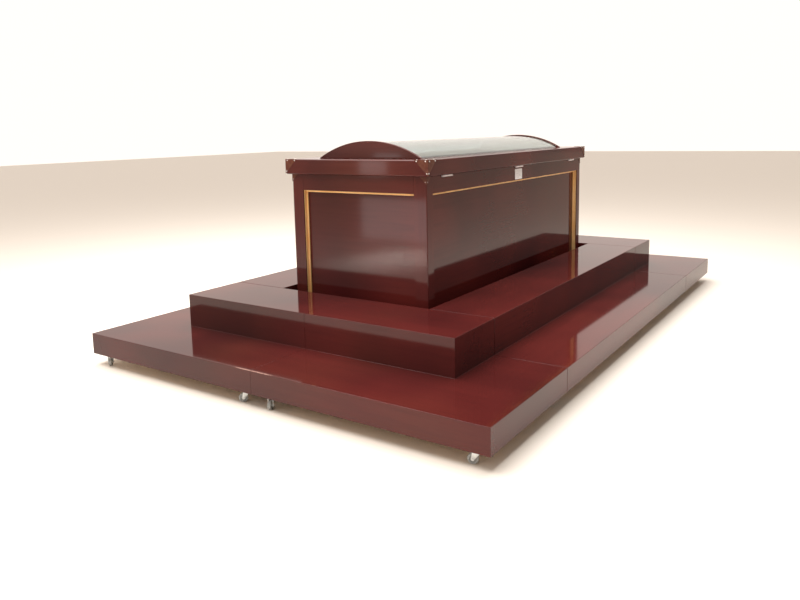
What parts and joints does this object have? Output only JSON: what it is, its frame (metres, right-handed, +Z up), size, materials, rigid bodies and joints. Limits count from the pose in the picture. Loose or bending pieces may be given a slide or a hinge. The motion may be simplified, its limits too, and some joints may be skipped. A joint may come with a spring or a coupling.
{
  "type": "wooden coffin",
  "caption": "Lacquered wooden coffin with a hinged lid and clear arched window, standing in a stepped dais of wheeled units.",
  "frame": {"origin": "on the floor, under the middle of the coffin and of the dais", "axes": "+Y along the coffin towards the end away from the viewer, +X towards the hinged side, +Z up"},
  "size_m": [2.35, 3.696, 1.1526],
  "materials": {
    "red_lacquer": "deep red-brown lacquer on board, high gloss",
    "gold_trim": "gold paint on a wooden moulding, satin",
    "pale_board": "pale varnished board",
    "clear_sheet": "clear bent sheet with a faint green tint, gloss",
    "bronze_plate": "thin bronzed steel corner plates",
    "hinge_steel": "bright plated steel",
    "castor_board": "plywood base board with zinc-plated castors and grey wheels",
    "tag_card": "plain white plastic card"
  },
  "bodies": {
    "box_and_dais": {"bed_bearer_left": "pale_board", "bed_bearer_right": "pale_board", "bed_board": "pale_board", "bottom_rail_back": "red_lacquer", "bottom_rail_front": "red_lacquer", "bottom_rail_left": "red_lacquer", "bottom_rail_right": "red_lacquer", "box_corner_back_left": "bronze_plate", "box_corner_back_right": "bronze_plate", "box_corner_front_left": "bronze_plate", "box_corner_front_right": "bronze_plate", "dais_back_left": "red_lacquer", "dais_back_left_castor_board": "castor_board", "dais_back_right": "red_lacquer", "dais_back_right_castor_board": "castor_board", "dais_front_left": "red_lacquer", "dais_front_left_castor_board": "castor_board", "dais_front_right": "red_lacquer", "dais_front_right_castor_board": "castor_board", "dais_side_left": "red_lacquer", "dais_side_left_castor_board": "castor_board", "dais_side_right": "red_lacquer", "dais_side_right_castor_board": "castor_board", "gold_moulding_back": "gold_trim", "gold_moulding_front": "gold_trim", "gold_moulding_left": "gold_trim", "gold_moulding_right": "gold_trim", "hinge_back_box_leaf": "hinge_steel", "hinge_front_box_leaf": "hinge_steel", "hinge_middle_box_leaf": "hinge_steel", "panel_back": "red_lacquer", "panel_front": "red_lacquer", "panel_left": "red_lacquer", "panel_right": "red_lacquer", "post_back_left": "red_lacquer", "post_back_right": "red_lacquer", "post_front_left": "red_lacquer", "post_front_right": "red_lacquer", "tag": "tag_card", "top_rail_back": "red_lacquer", "top_rail_front": "red_lacquer", "top_rail_left": "red_lacquer", "top_rail_right": "red_lacquer"},
    "lid": {"arch_back": "red_lacquer", "arch_front": "red_lacquer", "hinge_back_lid_leaf": "hinge_steel", "hinge_front_lid_leaf": "hinge_steel", "hinge_middle_lid_leaf": "hinge_steel", "lid_corner_back_left": "bronze_plate", "lid_corner_back_right": "bronze_plate", "lid_corner_front_left": "bronze_plate", "lid_corner_front_right": "bronze_plate", "lid_deck": "red_lacquer", "lid_sheet": "clear_sheet", "lid_skirt_back": "red_lacquer", "lid_skirt_front": "red_lacquer", "lid_skirt_left": "red_lacquer", "lid_skirt_right": "red_lacquer"}
  },
  "joints": [
    {"name": "lid_hinge", "type": "hinge", "parent": "box_and_dais", "child": "lid", "pos_m": [0.4378, 0, 0.9738], "axis": [0, 1, 0], "range_deg": [0, 110]}
  ]
}
